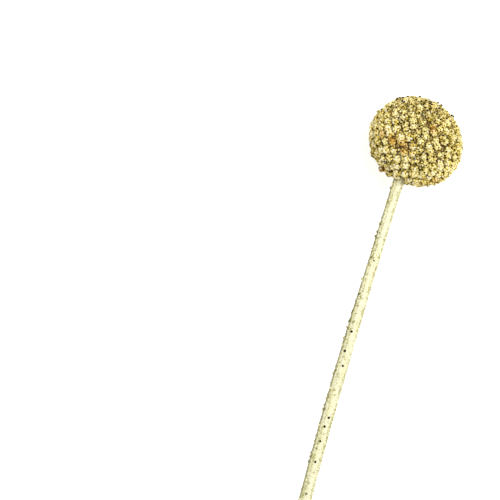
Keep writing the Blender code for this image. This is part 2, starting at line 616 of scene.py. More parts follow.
@dataclass(frozen=True)
class PithPaint:
    """The dry, unpainted pith and woody ring of the cut end."""

    pith: Colour = (0.80, 0.70, 0.47)
    ring: Colour = (0.42, 0.32, 0.14)
    ring_step: Step = (0.55, 0.85)
    roughness: float = 0.85
    grain_scale: float = 3000.0
    grain_weight: float = 0.5
    bump: float = 0.5

    def material(self) -> Material:
        """Builds the finish.

        Returns:
            The material.
        """
        paint = PaintChain("pith_paint")
        grain = paint.noise(paint.place, self.grain_scale, 3.0)
        rim = paint.off_middle(grain, self.grain_weight, paint.attribute("rim"))
        colour = paint.tinted(paint.stepped(rim, *self.ring_step), self.pith, self.ring)
        normal = paint.bumped(grain, self.bump)
        return paint.finish(Base_Color=colour, Roughness=self.roughness, Normal=normal)


class FloretKind(Enum):
    """How far a floret has opened: the radius, height and cover of its rings and its tip, as shares."""

    # Closed, with a round tip
    BUD = ((0.70, 0, 0.25), (1, 0.55, 0.65), (0.72, 0.87, 0.92), (0, 1, 1))
    # Open, with five lobes round a mouth painted near black as shade
    OPEN = ((0.60, 0, 0.25), (0.92, 0.6, 0.65), (1.14, 1, 1), (0.66, 0.94, 0.1), (0, 0.62, 0))
    # A burst tube, with a thin rim round a mouth painted near black as shade
    HOLLOW = ((0.80, 0, 0.3), (1, 0.9, 0.8), (0.94, 1, 1), (0.84, 0.98, 0), (0.70, 0.92, 0), (0, 0.90, 0))


def floret_mesh() -> BMesh:
    """Starts a mesh whose points carry the paint's cover and each floret's own shade.

    Returns:
        The empty mesh.
    """
    bm = bmesh.new()
    for name in ("paint", "shade"):
        bm.verts.layers.float.new(name)
    return bm


@dataclass
class Floret:
    """One tiny floret, a closed tube that stands on Z = 0."""

    kind: FloretKind
    radius: float
    height: float
    shade: float
    cover: float = 1.0
    lobe_depth: float = 0.24

    def add_to(self, bm: BMesh, place: Matrix) -> None:
        """Adds the floret to a mesh.

        Args:
            bm: the mesh.
            place: where its foot goes and which way it stands.
        """
        layers = bm.verts.layers.float
        sides = 6 if self.kind is FloretKind.BUD else 10
        rings = []
        for number, (share, rise, cover) in enumerate(self.kind.value):
            notch = self.lobe_depth if self.kind is FloretKind.OPEN and number > 1 else 0
            ring = []
            for step in range(sides if share else 1):
                reach = self.radius * share * (1 - notch * (step % 2))
                ring.append(bm.verts.new(place @ ring_corner(reach, step / sides, self.height * rise)))
                ring[-1][layers["paint"]] = cover * self.cover
                ring[-1][layers["shade"]] = self.shade
            rings.append(ring)
        lofted(bm, rings)


@dataclass
class FloretCluster:
    """One bundle of florets fanned over a small dome that stands on Z = 0."""

    seed: int
    florets: int
    open_share: float
    floret_radius: float = 0.40 * MM
    floret_height: float = 0.62 * MM
    dome_radius: float = 0.86 * MM
    dome_height: float = 1.05 * MM
    dome_stretch: float = 1.25
    # The dome between the florets stays dark: thin spray and painted shade
    dome_cover: float = 0.3
    foot_share: float = 0.70
    first_step: float = 0.2
    fan: float = math.radians(84)
    fan_spread: Range = (0.92, 1.08)
    turn_spread: Range = (-0.25, 0.25)
    radius_spread: Range = (0.84, 1.16)
    height_spread: Range = (0.8, 1.2)
    flank_thinning_and_shade: float = 0.32

    def mesh(self) -> Mesh:
        """Builds the bundle.

        Returns:
            Its mesh, with the paint's cover and each floret's shade stored on its points.
        """
        draw = random.Random(self.seed)
        bm = floret_mesh()
        middle = Matrix.Translation((0, 0, self.dome_height))
        form = middle @ Matrix.Diagonal((1, 1, self.dome_stretch, 1))
        bmesh.ops.create_uvsphere(bm, u_segments=7, v_segments=4, radius=self.dome_radius, matrix=form)
        for vert in bm.verts:
            for layer in bm.verts.layers.float.values():
                vert[layer] = self.dome_cover
        foot = Matrix.Translation((0, 0, self.dome_radius * self.foot_share))
        for number in range(self.florets):
            share = math.sqrt((number + self.first_step) / self.florets)
            spread = self.fan * share * draw.uniform(*self.fan_spread)
            turn = number * GOLDEN_ANGLE + draw.uniform(*self.turn_spread)
            radius = self.floret_radius * draw.uniform(*self.radius_spread)
            kind = FloretKind.OPEN if draw.random() < self.open_share else FloretKind.BUD
            height = self.floret_height * draw.uniform(*self.height_spread)
            # Each bundle's top is sprayed thicker and lighter, partly a painted highlight, its flanks darker,
            # partly painted shade
            crest_spray_and_highlight = 1 - self.flank_thinning_and_shade * (spread / self.fan) ** 2
            tilt = Matrix.Rotation(turn, 4, "Z") @ Matrix.Rotation(spread, 4, "Y")
            Floret(kind, radius, height, draw.random(), crest_spray_and_highlight).add_to(bm, middle @ tilt @ foot)
        return as_mesh(bm, f"cluster_{self.seed}")


@dataclass
class StemLine:
    """The stem's middle line and thickness, as the solids have them, in metres."""

    overall: float = 0.400
    head_radius: float = 0.0148
    crown_share: float = 0.94
    flat_depth: float = 0.00060
    seat: float = 0.0065
    side_offset: float = 0.0016
    bow: float = 0.0010
    wave: float = 0.0024
    neck_radius: float = 0.00168
    middle_radius: float = 0.00195
    end_radius: float = 0.00205
    swell_start: float = 0.025
    swell_end: float = 0.065
    probes: int = 400

    @property
    def run(self) -> float:
        """The stem's length from its seat in the head to its cut end."""
        return self.overall - self.head_radius * self.crown_share - self.seat

    @cached_property
    def head_centre(self) -> Vector:
        """The middle of the head.

        Returns:
            Its place, found from the solid stem's cut end and its widest point sideways.
        """
        low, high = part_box("stem")
        steps = [self.run * step / self.probes for step in range(self.probes + 1)]
        widest = max(self.side_offset + self.sideways(run) + self.radius(run) for run in steps)
        return Vector((low.x + self.seat + self.run, high.y - widest, self.head_radius - self.flat_depth))

    def sideways(self, run: float) -> float:
        """Returns how far the stem bows and waves sideways at a distance from its seat."""
        share = run / self.run
        return self.bow * math.sin(math.pi * share) + self.wave * math.sin(math.tau * share)

    def point(self, run: float) -> Vector:
        """Returns the middle of the stem at a distance from its seat."""
        drop = (self.end_radius - self.head_centre.z) * run / self.run
        return self.head_centre + Vector((-self.seat - run, self.side_offset + self.sideways(run), drop))

    def radius(self, run: float) -> float:
        """Finds the stem's radius.

        Args:
            run: a distance from the stem's seat.

        Returns:
            The radius there.
        """
        rise = min(max((run - self.swell_start) / (self.swell_end - self.swell_start), 0), 1)
        swell = (self.middle_radius - self.neck_radius) * rise * rise * (3 - 2 * rise)
        return self.neck_radius + swell + (self.end_radius - self.middle_radius) * (run / self.run) ** 2


@dataclass
class HeadForm:
    """The head's outer form, as the solids have it: nodding, and flatter at its crown and its base."""

    line: StemLine
    base_share: float = 0.865
    nod: float = math.radians(20)
    rim: float = 0.995

    def shares(self, relief: float) -> tuple[float, float]:
        """Returns the crown's and the base's share for a surface at a depth below the outer form."""
        radius, shares = self.line.head_radius, (self.line.crown_share, self.base_share)
        return tuple((share * radius - relief) / (radius - relief) for share in shares)

    def spot(self, direction: Vector, relief: float) -> tuple[Vector, Vector]:
        """Finds a place on the head.

        Args:
            direction: a direction in the head's own frame, with its axis along X.
            relief: how deep below the outer form the place lies.

        Returns:
            The place, and the way that it faces.
        """
        share = self.shares(relief)[0 if direction.x > 0 else 1]
        turn = Matrix.Rotation(-self.nod, 3, "Z")
        radius = self.line.head_radius - relief
        place = turn @ Vector((direction.x * share, direction.y, direction.z)) * radius
        facing = turn @ Vector((direction.x / share, direction.y, direction.z))
        return self.line.head_centre + place, facing.normalized()

    def seen_direction(self, point: Vector) -> Vector:
        """Finds the direction of a place that is seen from above.

        Args:
            point: any point straight above or below the place.

        Returns:
            The direction in the head's own frame, on the outline for a point beyond it.
        """
        offset = (point - self.line.head_centre) * Vector((1, 1, 0))
        flat = Matrix.Rotation(self.nod, 3, "Z") @ offset / self.line.head_radius
        flat.x /= self.line.crown_share if flat.x > 0 else self.base_share
        if flat.length > self.rim:
            return flat.normalized()
        return Vector((flat.x, flat.y, math.sqrt(1 - flat.length_squared)))


class HeadRule(GrowthRule):
    """A growth rule for a piece whose parts are wound over the head."""

    def __init__(self, name: str, form: HeadForm, relief: float) -> None:
        """Starts the tree with the form's own sizes as inputs.

        Args:
            name: the name of the piece that it makes.
            form: the head's form.
            relief: how deep below the outer form the parts have their feet.
        """
        super().__init__(name)
        self.form = form
        crown, base = form.shares(relief)
        self.centre = self.named("Centre", form.line.head_centre)
        self.foot = self.named("Foot Radius", form.line.head_radius - relief)
        crown_share = self.named("Crown Share", crown)
        base_share = self.named("Base Share", base)
        self.nod = self.named("Nod", -form.nod)
        self.direction = self.vector("NORMALIZE", self.position)
        along = self.out("ShaderNodeSeparateXYZ", {0: self.direction})
        difference = self.math("SUBTRACT", crown_share, base_share)
        share = self.math("MULTIPLY_ADD", self.math("GREATER_THAN", along, 0.0), difference, base_share)
        self.flatness = self.combined(share, 1.0, 1.0)

    def turned(self, vector: Any) -> Socket:
        """Returns a vector turned from the head's own frame into the world's."""
        inputs = {"Vector": vector, "Angle": self.nod}
        return self.out("ShaderNodeVectorRotate", inputs, rotation_type="Z_AXIS")

    def place(self, reach: Any) -> Socket:
        """Returns the place in a point's direction, at a reach past the feet's own radius."""
        way = self.turned(self.vector("MULTIPLY", self.direction, self.flatness))
        return self.vector("ADD", self.scaled(way, self.math("ADD", self.foot, reach)), self.centre)

    def outward(self) -> Socket:
        """Returns the way that the form faces in a point's direction."""
        return self.turned(self.vector("NORMALIZE", self.vector("DIVIDE", self.direction, self.flatness)))

    def wound(self, count: Any, crowding: Any) -> Socket:
        """Winds points round the head's axis, closer together towards the crown.

        Args:
            count: how many there are.
            crowding: 1 for an even spread, and more for a closer one at the crown.

        Returns:
            The points, with the size that fits the spread stored as "fitting".
        """
        index = self.out("GeometryNodeInputIndex")
        even = self.math("DIVIDE", self.math("ADD", index, 0.5), count)
        along = self.math("MULTIPLY_ADD", self.math("POWER", even, crowding), -2.0, 1.0)
        across = self.math("SQRT", self.math("SUBTRACT", 1.0, self.math("MULTIPLY", along, along)))
        turn = self.math("MULTIPLY", index, GOLDEN_ANGLE)
        sides = [self.math("MULTIPLY", across, self.math(part, turn)) for part in ("COSINE", "SINE")]
        points = self.out("GeometryNodePoints", {0: count, 1: self.combined(along, *sides)})
        spread = self.math("POWER", even, self.math("SUBTRACT", crowding, 1.0))
        fitting = self.math("SQRT", self.math("MULTIPLY", spread, crowding))
        return self.stored(points, "fitting", fitting, "POINT")

    def halved(self, points: Any, count: Any, half: int) -> Socket:
        """Keeps one half of the wound points.

        Args:
            points: the points.
            count: how many there are.
            half: 0 for the crown's half, or 1 for the base's.

        Returns:
            The points that are left.
        """
        twice = self.math("MULTIPLY", self.out("GeometryNodeInputIndex"), 2.0)
        in_base = self.math("GREATER_THAN", twice, count)
        other = self.math("ABSOLUTE", self.math("SUBTRACT", in_base, self.named("Half", float(half))))
        return self.without(points, other)

    def stem_cleared(self, points: Any, opening: float) -> Socket:
        """Takes out the points that stand where the stem enters.

        Args:
            points: the points, at their directions.
            opening: how wide the stem's opening is, as an angle from its middle.

        Returns:
            The points that are left.
        """
        stem_way = self.form.seen_direction(self.form.line.point(self.form.line.seat))
        near = self.vector("DOT_PRODUCT", self.direction, self.named("Stem Direction", stem_way))
        covered_and_shaded = self.math("GREATER_THAN", near, self.named("Stem Opening", math.cos(opening)))
        return self.without(points, covered_and_shaded)


@dataclass
class FlowerHead:
    """The ball of florets: bundles wound round its axis, smaller florets between them, and the core."""

    line: StemLine
    seed: int = 7
    clusters: int = 410
    cluster_relief: float = 2.28 * MM
    kinds: int = 9
    bundle_seed: int = 100
    bundle_florets: Range = (10, 14)
    bundle_open: Range = (0.10, 0.55)
    bundle_radii: Range = (0.44 * MM, 0.37 * MM)
    crowding: float = 1.42
    height_spread: float = 0.22 * MM
    place_spread: float = 0.030
    lean: float = 0.14
    smallest: float = 0.90
    largest: float = 1.12
    height_power: float = 0.35
    fineness: float = 2.7
    fineness_fall: float = 2.2
    fineness_spread: float = 0.35
    warp: float = 0.30 * MM
    warp_scale: float = 260.0
    ruffle: float = 0.09 * MM
    ruffle_scale: float = 1500.0
    rest_height: float = 0.02 * MM
    stem_opening: float = math.radians(9)
    between: int = 1900
    between_relief: float = 2.95 * MM
    between_seed: int = 31
    singles: int = 6
    single_radius: float = 0.38 * MM
    single_height: float = 1.75 * MM
    core_relief: float = 1.95 * MM
    core_ruffle: float = 0.18 * MM
    core_ruffle_scale: float = 900.0
    other_hollows: int = 150
    hollow_radii: Range = (0.36 * MM, 0.46 * MM)
    hollow_heights: Range = (1.5 * MM, 1.8 * MM)
    top_mouth_relief: float = -0.14 * MM
    side_mouth_relief: float = 0.05 * MM
    lowest_mouth: float = 2.4 * MM
    mouth_lift: float = 0.8
    mouth_pull: float = 0.5
    top_side: float = 0.35
    crown_corner: Range = (0.5, 0.25)
    underside: float = -0.15
    proud_seed: int = 200
    proud_florets: int = 11
    proud_open: float = 0.2

    @property
    def form(self) -> HeadForm:
        """The head's form."""
        return HeadForm(self.line)

    def bundle_kinds(self) -> list[Mesh]:
        """Builds the bundles that the head picks from.

        Returns:
            Their meshes, from coarse ones to fine ones.
        """
        meshes = []
        for number in range(self.kinds):
            florets, open_share, radius = (
                coarse + (fine - coarse) * number / (self.kinds - 1)
                for coarse, fine in (self.bundle_florets, self.bundle_open, self.bundle_radii)
            )
            meshes.append(FloretCluster(self.bundle_seed + number, round(florets), open_share, radius).mesh())
        return meshes

    def single_kinds(self) -> list[Mesh]:
        """Builds the single florets that stand between the bundles.

        Returns:
            Their meshes.
        """
        draw = random.Random(self.seed)
        meshes = []
        for number in range(self.singles):
            bm = floret_mesh()
            kind = FloretKind.OPEN if number % 3 == 0 else FloretKind.BUD
            Floret(kind, self.single_radius, self.single_height, draw.random()).add_to(bm, Matrix())
            meshes.append(as_mesh(bm, f"single_{number}"))
        return meshes

    def wound_piece(
        self,
        name: str,
        meshes: list[Mesh],
        count: int,
        relief: float,
        finish: Material,
        seed: int,
        half: int | None = None,
    ) -> Object:
        """Grows one piece of the head from copies of a few small meshes.

        Args:
            name: the piece's name.
            meshes: the small meshes, from coarse to fine, which stand on Z = 0.
            count: how many copies go round the whole head.
            relief: how deep below the outer form their feet are.
            finish: their paint.
            seed: what sets this piece's draws apart.
            half: 0 for the crown's half alone, 1 for the base's, or None for the whole head.

        Returns:
            The piece.
        """
        models = bpy.data.collections.new(f"{name}_kinds")
        for number, mesh in enumerate(meshes):
            new_object(f"{name}_{number:02d}", mesh, models)
        rule = HeadRule(name, self.form, relief)
        rule.seed = rule.named("Seed", seed)
        total = rule.named("Count", count)
        points = rule.wound(total, rule.named("Crowding", self.crowding))
        points = rule.moved(points, rule.chance_vector(rule.named("Place Spread", self.place_spread), 1))
        if half is not None:
            points = rule.halved(points, total, half)
        fitting = rule.out("GeometryNodeInputNamedAttribute", {0: "fitting"}, data_type="FLOAT")
        last = len(meshes) - 1
        fine = rule.math("MULTIPLY_ADD", fitting, -self.fineness_fall * last, self.fineness * last)
        chosen = rule.chance(-self.fineness_spread * last, self.fineness_spread * last, 2)
        chosen = rule.math("MAXIMUM", rule.math("ADD", fine, chosen), 0.0)
        lean = rule.chance_vector(rule.named("Lean", self.lean), 3)
        size = rule.chance(rule.named("Smallest", self.smallest), rule.named("Largest", self.largest), 5)
        size = rule.math("MULTIPLY", size, fitting)
        inputs = {
            0: rule.stem_cleared(points, self.stem_opening),
            2: rule.out("GeometryNodeCollectionInfo", {0: rule.named("Kinds", models), 1: True, 2: True}),
            3: True,
            4: rule.math("MINIMUM", chosen, float(last)),
            5: rule.facing(rule.vector("ADD", rule.outward(), lean), 4),
            6: rule.combined(size, size, rule.math("POWER", size, self.height_power)),
        }
        placed = rule.out("GeometryNodeInstanceOnPoints", inputs)
        placed = rule.stored(placed, "tone", rule.chance(0.0, 1.0, 7), "INSTANCE")
        lowest = rule.math("MULTIPLY", rule.named("Height Spread", self.height_spread), -1.0)
        shift = rule.vector("SUBTRACT", rule.place(rule.chance(lowest, 0.0, 6)), rule.position)
        whole = rule.realized(rule.out("GeometryNodeTranslateInstances", {0: placed, 2: shift, 3: False}))
        whole = rule.ruffled(whole, "Warp", self.warp_scale, self.warp)
        whole = rule.ruffled(whole, "Ruffle", self.ruffle_scale, self.ruffle)
        piece = rule.grow(rule.rested(whole, self.rest_height), finish)
        for model in list(models.objects):
            bpy.data.objects.remove(model, do_unlink=True)
        bpy.data.collections.remove(models)
        return piece

    def mouth_directions(self, view: PictureView, draw: random.Random) -> list[Vector]:
        """Finds where the burst florets stand.

        Args:
            view: the picture's view, for those that show in it.
            draw: the source of the other ones, most of which are near the crown.

        Returns:
            Their directions in the head's own frame.
        """
        seen = [self.form.seen_direction(view.plane_point(x, y)) for x, y in view.hollow_pixels]
        drawn = [
            Vector((draw.gauss(self.mouth_pull, 1), draw.gauss(0, 1), draw.gauss(0, 1))).normalized()
            for _ in range(self.other_hollows)
        ]
        along, above = self.crown_corner
        return seen + [one for one in drawn if one.z < self.underside or one.x > along and one.z > above]

    def hollows(self, view: PictureView, finish: Material) -> Object:
        """Makes the burst florets, whose mouths, painted near black as shade, show as dark dots, and the
        bundles that stand proud.

        Args:
            view: the picture's view, for those that show in it.
            finish: their paint.

        Returns:
            The piece.
        """
        draw = random.Random(self.seed)
        bm = floret_mesh()
        for direction in self.mouth_directions(view, draw):
            relief = self.top_mouth_relief if direction.z > self.top_side else self.side_mouth_relief
            mouth, outward = self.form.spot(direction, relief)
            if mouth.z < self.lowest_mouth:
                continue
            facing = (outward + UP * (self.mouth_lift if direction.z > self.underside else 0)).normalized()
            radius = draw.uniform(*self.hollow_radii)
            height = draw.uniform(*self.hollow_heights)
            place = standing(mouth - facing * height, facing)
            Floret(FloretKind.HOLLOW, radius, height, draw.random()).add_to(bm, place)
        for number, (x, y, relief) in enumerate(view.proud_pixels):
            direction = self.form.seen_direction(view.plane_point(x, y))
            bundle = FloretCluster(self.proud_seed + number, self.proud_florets, self.proud_open).mesh()
            bundle.transform(standing(*self.form.spot(direction, relief)))
            bm.from_mesh(bundle)
            bpy.data.meshes.remove(bundle)
        return as_piece(bm, "hollow_florets", finish)

    def core(self, finish: Material) -> Object:
        """Makes the knobbly core that shows in the gaps.

        Args:
            finish: its paint.

        Returns:
            The piece.
        """
        rule = HeadRule("floret_core", self.form, self.core_relief)
        ball = rule.out("GeometryNodeMeshIcoSphere", {0: 1.0, 1: 5})
        ball = rule.placed_at(ball, rule.place(0.0))
        return rule.grow(rule.ruffled(ball, "Ruffle", self.core_ruffle_scale, self.core_ruffle), finish)

    def dress(self, view: PictureView) -> None:
        """Builds the head and ties it to the model.

        Args:
            view: the picture's view.
        """
        browned = tuple(
            (self.form.spot(self.form.seen_direction(view.plane_point(x, y)), 0)[0], reach)
            for x, y, reach in view.browned_pixels
        )
        paint = FloretPaint(browned).material()
        shared = (self.bundle_kinds(), self.clusters, self.cluster_relief, paint, self.seed)
        for half, name in enumerate(("crown_florets", "base_florets")):
            mounted(self.wound_piece(name, *shared, half), "head_paint", "flower_head")
        shared = (self.single_kinds(), self.between, self.between_relief, paint, self.between_seed)
        mounted(self.wound_piece("between_florets", *shared), "head_paint")
        mounted(self.hollows(view, paint), "head_paint")
        mounted(self.core(CorePaint().material()), "head_paint")


@dataclass(frozen=True)
class Scatter:
    """What is scattered over the stalk: how many, how far from upright, how large, and more to one side."""

    name: str
    count: int
    lean: float
    smallest: float
    largest: float
    one_side: float


@dataclass
class Stalk:
    """The stem: a ribbed tube with down, drops of paint, pinholes shown as dots of painted shade, and a cut
    end.
    """

    line: StemLine
    path_points: int = 120
    rings: int = 560
    sides: int = 60
    ribs: int = 9
    rib_depth: float = 0.055 * MM
    waver: float = 0.06 * MM
    waver_scale: float = 140.0
    crust: float = 0.11 * MM
    crust_scale: float = 1900.0
    # How much darker the left and the right edge are: painted shade
    left_painted_shade: float = 0.30
    right_painted_shade: float = -0.06
    least_cover: float = 0.10
    rest_height: float = 0.01 * MM
    seed: int = 23
    nubs: Scatter = Scatter("nubs", 1600, 0.2, 0.12 * MM, 0.50 * MM, 0.85)
    down: Scatter = Scatter("down", 900, 1.2, 0.35 * MM, 0.90 * MM, 0.6)
    nub_height: float = 0.95
    drop_cover: Range = (-0.1, 0.8)
    # Height, bend and radius of each ring of a hair
    hair_rings: tuple[Triple, ...] = ((-0.05, 0.0, 0.07), (0.5, 0.08, 0.05), (1.0, 0.34, 0.012))
    other_specks: int = 26
    other_runs: Range = (0.03, 0.98)
    other_turns: Range = (math.radians(100), math.radians(440))
    hidden_turns: Range = (math.radians(200), math.radians(340))
    other_radii: Range = (0.12 * MM, 0.24 * MM)
    speck_edge: float = 0.95
    speck_rise: float = 0.04 * MM
    speck_height: float = 0.45
    cut_sides: int = 36
    # Radius as a share, height in millimetres and woodiness of each ring of the cut end
    cut_rings: tuple[Triple, ...] = (
        (0.88, -0.3, 1.0), (0.88, 0.14, 1.0), (0.84, 0.19, 1.0),
        (0.72, 0.18, 0.7), (0.66, 0.13, 0.2), (0.4, 0.15, 0.0),
    )
    cut_middle: float = 0.12 * MM
    cut_roughness: Range = (-0.015, 0.015)

    def path(self) -> Object:
        """Makes the curve that the stalk follows, with its thickness on its points.

        Returns:
            The curve's object.
        """
        curve = bpy.data.curves.new("stalk_path", "CURVE")
        curve.dimensions = "3D"
        spline = curve.splines.new("POLY")
        spline.points.add(self.path_points - 1)
        for number, point in enumerate(spline.points):
            run = self.line.run * number / (self.path_points - 1)
            point.co = (*self.line.point(run), 1)
            point.radius = self.line.radius(run)
        return new_object("stalk_path", curve)

    def profile(self, rule: GrowthRule) -> Socket:
        """Draws the ribbed outline of the stalk.

        Args:
            rule: the stalk's tree.

        Returns:
            The outline, one metre in radius.
        """
        circle = rule.out("GeometryNodeCurvePrimitiveCircle", {0: rule.named("Sides", self.sides), 4: 1.0})
        turn = rule.math("MULTIPLY", rule.out("GeometryNodeSplineParameter"), math.tau)
        wave = rule.math("COSINE", rule.math("MULTIPLY", turn, rule.named("Ribs", self.ribs)))
        depth = rule.named("Rib Depth", self.rib_depth / self.line.middle_radius)
        swell = rule.math("MULTIPLY_ADD", rule.math("SUBTRACT", wave, 1.0), depth, 1.0)
        return rule.placed_at(circle, rule.scaled(rule.position, swell))

    def covered_and_shaded(self, rule: GrowthRule, tube: Any) -> Socket:
        """Stores the stalk's paint cover, set by which way each point faces: least underneath and at both
        edges, most so on the left, which is painted shade.

        Args:
            rule: the stalk's tree.
            tube: the smooth tube.

        Returns:
            The tube with its cover.
        """
        # Less cover underneath and at both edges, the left one most: painted shade
        _, side, height = rule.add("ShaderNodeSeparateXYZ", {0: rule.normal}).outputs
        left = rule.math("MULTIPLY", side, rule.named("Left Painted Shade", self.left_painted_shade))
        right = rule.math("MULTIPLY", side, rule.named("Right Painted Shade", self.right_painted_shade))
        cover = rule.math("SUBTRACT", height, rule.math("MAXIMUM", left, right))
        cover = rule.math("MAXIMUM", cover, rule.named("Least Cover", self.least_cover))
        return rule.stored(tube, "cover", cover, "POINT")

    def tube(self, finish: Material) -> Object:
        """Sweeps the ribbed tube along its path.

        Args:
            finish: its paint.

        Returns:
            The piece.
        """
        path = self.path()
        rule = GrowthRule("stalk")
        info = rule.add("GeometryNodeObjectInfo", {0: rule.named("Path", path)})
        inputs = {0: info.outputs["Geometry"], 2: rule.named("Rings", self.rings)}
        inputs = {
            0: rule.out("GeometryNodeResampleCurve", inputs),
            1: self.profile(rule),
            2: rule.out("GeometryNodeInputRadius"),
            3: True,
        }
        tube = self.covered_and_shaded(rule, rule.out("GeometryNodeCurveToMesh", inputs))
        tube = rule.ruffled(tube, "Waver", self.waver_scale, self.waver)
        rough = rule.math("SUBTRACT", rule.noise(rule.position, self.crust_scale), 0.5)
        crust = rule.math("MULTIPLY", rough, rule.named("Crust", self.crust))
        tube = rule.moved(tube, rule.scaled(rule.normal, crust))
        piece = rule.grow(rule.rested(tube, self.rest_height), finish)
        bpy.data.objects.remove(path, do_unlink=True)
        return piece

    def scattered(self, kind: Scatter, tube: Object, shape: Mesh, finish: Material) -> Object:
        """Scatters copies of a small shape over the stalk.

        Args:
            kind: how they are scattered.
            tube: the stalk that they stand on.
            shape: the small shape, standing on Z = 0.
            finish: their paint.

        Returns:
            The piece.
        """
        model = new_object(f"{kind.name}_model", shape)
        area = sum(face.area for face in tube.data.polygons)
        rule = GrowthRule(kind.name)
        rule.seed = rule.named("Seed", self.seed)
        host = rule.add("GeometryNodeObjectInfo", {0: rule.named("Stalk", tube)}).outputs["Geometry"]
        side = rule.vector("DOT_PRODUCT", rule.normal, (0.0, 1.0, 0.0))
        weight = rule.math("MULTIPLY_ADD", side, kind.one_side, 1 - kind.one_side)
        density = rule.math("MULTIPLY", weight, rule.named("Density", kind.count / area))
        inputs = {0: host, 4: density, 6: rule.seed}
        spots = rule.add("GeometryNodeDistributePointsOnFaces", inputs, distribute_method="RANDOM")
        upright = rule.vector("ADD", spots.outputs[1], rule.chance_vector(rule.named("Lean", kind.lean), 11))
        size = rule.chance(rule.named("Smallest", kind.smallest), rule.named("Largest", kind.largest), 13)
        inputs = {
            0: spots.outputs[0],
            2: rule.add("GeometryNodeObjectInfo", {0: rule.named("Shape", model)}).outputs["Geometry"],
            5: rule.facing(upright, 12),
            6: rule.combined(size, size, size),
        }
        placed = rule.out("GeometryNodeInstanceOnPoints", inputs)
        placed = rule.stored(placed, "cover", rule.chance(*self.drop_cover, 14), "INSTANCE")
        piece = rule.grow(rule.rested(rule.realized(placed), self.rest_height), finish)
        bpy.data.objects.remove(model, do_unlink=True)
        return piece

    def nub_shape(self) -> Mesh:
        """Makes a drop of dried paint.

        Returns:
            Its mesh, one metre in radius before it is sized.
        """
        bm = bmesh.new()
        squash = Matrix.Diagonal((1, 1, self.nub_height, 1))
        bmesh.ops.create_uvsphere(bm, u_segments=6, v_segments=4, radius=1, matrix=squash)
        return as_mesh(bm, "nub")

    def hair_shape(self) -> Mesh:
        """Makes a short bent hair with three sides.

        Returns:
            Its mesh, one metre long before it is sized.
        """
        bm = bmesh.new()
        rings = []
        for height, bend, radius in self.hair_rings:
            corners = [ring_corner(radius, step / 3, height) for step in range(3)]
            rings.append([bm.verts.new(corner + Vector((bend, 0, 0))) for corner in corners])
        lofted(bm, rings)
        return as_mesh(bm, "hair")

    def speck_places(self, view: PictureView) -> Iterator[tuple[Vector, Vector, float]]:
        """Finds the pinholes.

        Args:
            view: the picture's view, for those that show in it.

        Yields:
            Each one's place, the way that it faces and its radius.
        """
        for x, y, radius in view.speck_pixels:
            spot = view.plane_point(x, y)
            run = self.line.head_centre.x - spot.x - self.line.seat
            middle = self.line.point(run)
            reach = self.line.radius(run)
            ahead = (self.line.point(run + MM) - middle).normalized()
            across = Vector((ahead.y, -ahead.x, 0)).normalized()
            offset = (spot - middle).dot(across) / reach
            offset = max(-self.speck_edge, min(self.speck_edge, offset))
            outward = across * offset + UP * math.sqrt(1 - offset * offset)
            yield middle + outward * reach, outward, radius
        draw = random.Random(self.seed)
        for _ in range(self.other_specks):
            run = draw.uniform(*self.other_runs) * self.line.run
            angle = draw.uniform(*self.other_turns)
            if run < view.seen_run:
                angle = draw.uniform(*self.hidden_turns)
            outward = Vector((0, math.cos(angle), math.sin(angle)))
            place = self.line.point(run) + outward * self.line.radius(run)
            yield place, outward, draw.uniform(*self.other_radii)

    def specks(self, view: PictureView, finish: Material) -> Object:
        """Makes the pinholes in the paint as raised dots whose near black is painted shade.

        Args:
            view: the picture's view.
            finish: their dark finish.

        Returns:
            The piece.
        """
        bm = bmesh.new()
        squash = Matrix.Diagonal((1, 1, self.speck_height, 1))
        for spot, outward, radius in self.speck_places(view):
            place = standing(spot + outward * self.speck_rise, outward) @ squash
            bmesh.ops.create_uvsphere(bm, u_segments=10, v_segments=6, radius=radius, matrix=place)
        for vert in bm.verts:
            vert.co.z = max(vert.co.z, self.rest_height)
        return as_piece(bm, "specks", finish)

    def cut_face(self, finish: Material) -> Object:
        """Makes the pith and the woody ring of the cut end.

        Args:
            finish: their finish.

        Returns:
            The piece.
        """
        draw = random.Random(self.seed)
        bm = bmesh.new()
        rim = bm.verts.layers.float.new("rim")
        rings = []
        for share, height, wood in self.cut_rings:
            rings.append([])
            for step in range(self.cut_sides):
                rise = (height + draw.uniform(*self.cut_roughness)) * MM
                corner = ring_corner(share * self.line.end_radius, step / self.cut_sides, rise)
                rings[-1].append(bm.verts.new(corner))
                rings[-1][-1][rim] = wood
        lofted(bm, [*rings, [bm.verts.new((0, 0, self.cut_middle))]])
        end = self.line.point(self.line.run)
        outward = (end - self.line.point(self.line.run - MM)).normalized()
        bmesh.ops.transform(bm, matrix=standing(end, outward), verts=bm.verts)
        return as_piece(bm, "cut_face", finish)

    def dress(self, view: PictureView) -> None:
        """Builds the stalk and ties it to the model.

        Args:
            view: the picture's view.
        """
        paint = StalkPaint().material()
        tube = self.tube(paint)
        nubs = self.scattered(self.nubs, tube, self.nub_shape(), paint)
        down = self.scattered(self.down, tube, self.hair_shape(), paint)
        mounted(tube, "stem_paint", "stem")
        mounted(nubs, "stem_paint")
        mounted(down, "stem_paint")
        mounted(self.specks(view, PinholeShadePaint().material()), "stem_paint")
        mounted(self.cut_face(PithPaint().material()), "stem_paint")


